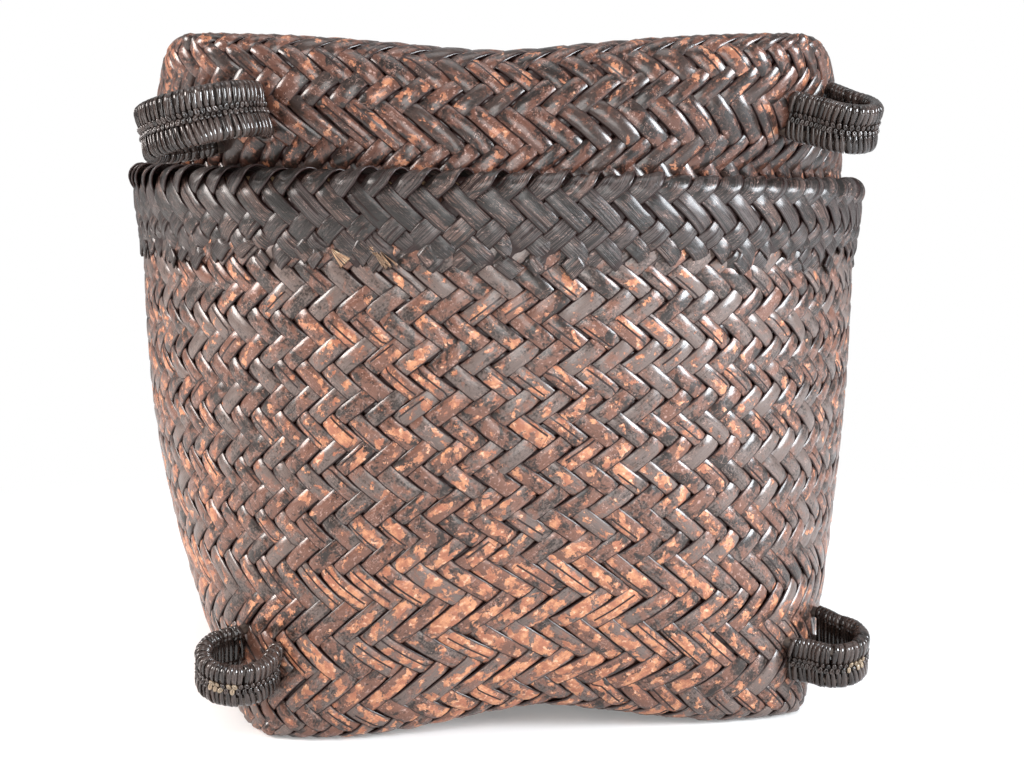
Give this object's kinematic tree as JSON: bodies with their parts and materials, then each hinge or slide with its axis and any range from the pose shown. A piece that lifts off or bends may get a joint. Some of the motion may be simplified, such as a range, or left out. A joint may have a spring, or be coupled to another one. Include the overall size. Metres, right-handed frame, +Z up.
{
  "type": "lidded basket",
  "caption": "Twill-plaited storage basket: square base rising to a round mouth, with a square-topped lid that nests in the mouth, and lashed cane ears at the front corners.",
  "frame": {"origin": "on the floor under the middle of the round mouth, the basket standing on its four corner feet", "axes": "+Z up, the base's sides along X and Y, -Y to the front with the ears"},
  "size_m": [0.3386, 0.3386, 0.2916],
  "materials": {
    "plaited_strip": "smoke-darkened plaited strips, lacquer worn through to orange-tan on the crowns, half gloss",
    "rim_strip": "dark grey-brown strip ends turned down over the rim, fine lengthwise fibre, half gloss",
    "hoop_cane": "plain cane hoop hidden in the fold",
    "ear_core": "dark cane rod",
    "ear_lashing": "near-black split cane, half gloss",
    "ear_knots": "near-black knotted split cane"
  },
  "bodies": {
    "basket": {"basket_shell": "plaited_strip", "rim_hem": "rim_strip", "rim_hoop": "hoop_cane", "basket_left_ear_core_upper": "ear_core", "basket_left_ear_core_lower": "ear_core", "basket_left_ear_lashing": "ear_lashing", "basket_left_ear_knots": "ear_knots", "basket_right_ear_core_upper": "ear_core", "basket_right_ear_core_lower": "ear_core", "basket_right_ear_lashing": "ear_lashing", "basket_right_ear_knots": "ear_knots"},
    "lid": {"lid_shell": "plaited_strip", "lid_hem": "rim_strip", "lid_hoop": "hoop_cane", "lid_left_ear_core_upper": "ear_core", "lid_left_ear_core_lower": "ear_core", "lid_left_ear_lashing": "ear_lashing", "lid_left_ear_knots": "ear_knots", "lid_right_ear_core_upper": "ear_core", "lid_right_ear_core_lower": "ear_core", "lid_right_ear_lashing": "ear_lashing", "lid_right_ear_knots": "ear_knots"}
  },
  "joints": [
    {"name": "lid_lift", "type": "slide", "parent": "basket", "child": "lid", "axis": [0, 0, 1], "range_m": [0, 0.12]}
  ]
}
